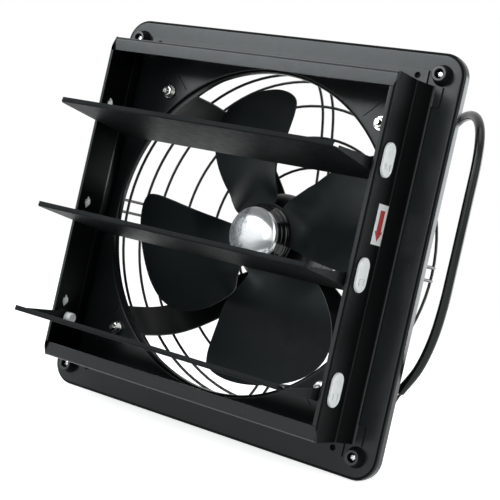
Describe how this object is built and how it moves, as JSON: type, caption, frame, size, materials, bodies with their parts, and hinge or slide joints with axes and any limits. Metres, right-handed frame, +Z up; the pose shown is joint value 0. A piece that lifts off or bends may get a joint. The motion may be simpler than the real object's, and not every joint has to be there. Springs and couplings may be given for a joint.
{
  "type": "window exhaust fan",
  "caption": "Square flanged exhaust fan with gravity louvres in a shutter box, a paddle blade on a domed hub, and a motor hung in a wire guard.",
  "frame": {"origin": "where the fan axis meets the front face of the mounting flange", "axes": "-Y out through the shutter, +Y towards the motor and guard, +Z up, +X to the right seen from the shutter side"},
  "size_m": [0.3667, 0.2237, 0.34],
  "materials": {
    "panel_black": "satin powder coat",
    "nylon_white": "moulded satin",
    "bumper_rubber": "matt",
    "gland_rubber": "matt",
    "screw_steel": "satin",
    "arm_black": "satin powder coat",
    "zinc_steel": "bright zinc plate",
    "guard_black": "gloss enamel",
    "motor_black": "satin paint",
    "lamination_steel": "stacked sheet",
    "winding_copper": "varnished copper wire",
    "shaft_steel": "ground",
    "blade_black": "satin paint",
    "collar_black": "satin paint",
    "cap_chrome": "polished",
    "cord_jacket": "satin",
    "lead_cover": "satin"
  },
  "bodies": {
    "housing": {"main_panel": "panel_black", "shutter_top": "panel_black", "shutter_bottom": "panel_black", "shutter_left": "panel_black", "shutter_right": "panel_black", "pivot_bush_left_1": "nylon_white", "pivot_bush_left_2": "nylon_white", "pivot_bush_left_3": "nylon_white", "pivot_bush_right_1": "nylon_white", "pivot_bush_right_2": "nylon_white", "pivot_bush_right_3": "nylon_white", "corner_bumper_1": "bumper_rubber", "corner_bumper_2": "bumper_rubber", "corner_bumper_3": "bumper_rubber", "corner_bumper_4": "bumper_rubber", "bumper_screw_1": "screw_steel", "bumper_screw_2": "screw_steel", "bumper_screw_3": "screw_steel", "bumper_screw_4": "screw_steel", "motor_arm_1": "arm_black", "motor_arm_2": "arm_black", "motor_arm_3": "arm_black", "motor_arm_4": "arm_black", "arm_bolt_1": "zinc_steel", "arm_bolt_2": "zinc_steel", "arm_bolt_3": "zinc_steel", "arm_bolt_4": "zinc_steel", "arm_nut_1": "zinc_steel", "arm_nut_2": "zinc_steel", "arm_nut_3": "zinc_steel", "arm_nut_4": "zinc_steel", "wire_guard": "guard_black", "motor_front_shell": "motor_black", "motor_rear_shell": "motor_black", "stator_core": "lamination_steel", "stator_winding": "winding_copper", "front_bearing": "shaft_steel", "rear_bearing": "shaft_steel", "motor_bolt_1": "zinc_steel", "motor_bolt_2": "zinc_steel", "motor_bolt_3": "zinc_steel", "motor_bolt_4": "zinc_steel", "cord_gland": "gland_rubber", "power_cord": "cord_jacket", "cord_leads": "lead_cover"},
    "rotor": {"rotor_shaft": "shaft_steel", "rotor_core": "lamination_steel", "fan_blade": "blade_black", "hub_collar": "collar_black", "hub_cap": "cap_chrome"},
    "louvre_body_1": {"louvre_1": "panel_black", "louvre_pin_left_1": "nylon_white", "louvre_pin_right_1": "nylon_white"},
    "louvre_body_2": {"louvre_2": "panel_black", "louvre_pin_left_2": "nylon_white", "louvre_pin_right_2": "nylon_white"},
    "louvre_body_3": {"louvre_3": "panel_black", "louvre_pin_left_3": "nylon_white", "louvre_pin_right_3": "nylon_white"}
  },
  "joints": [
    {"name": "rotor_spin", "type": "hinge", "parent": "housing", "child": "rotor", "pos_m": [0, 0.035, 0], "axis": [0, -1, 0], "continuous": true},
    {"name": "louvre_1_swing", "type": "hinge", "parent": "housing", "child": "louvre_body_1", "pos_m": [0, -0.04, 0.0705], "axis": [-1, 0, 0], "range_deg": [0, 76]},
    {"name": "louvre_2_swing", "type": "hinge", "parent": "housing", "child": "louvre_body_2", "pos_m": [0, -0.04, -0.0181], "axis": [-1, 0, 0], "range_deg": [0, 76]},
    {"name": "louvre_3_swing", "type": "hinge", "parent": "housing", "child": "louvre_body_3", "pos_m": [0, -0.04, -0.1067], "axis": [-1, 0, 0], "range_deg": [0, 76]}
  ]
}
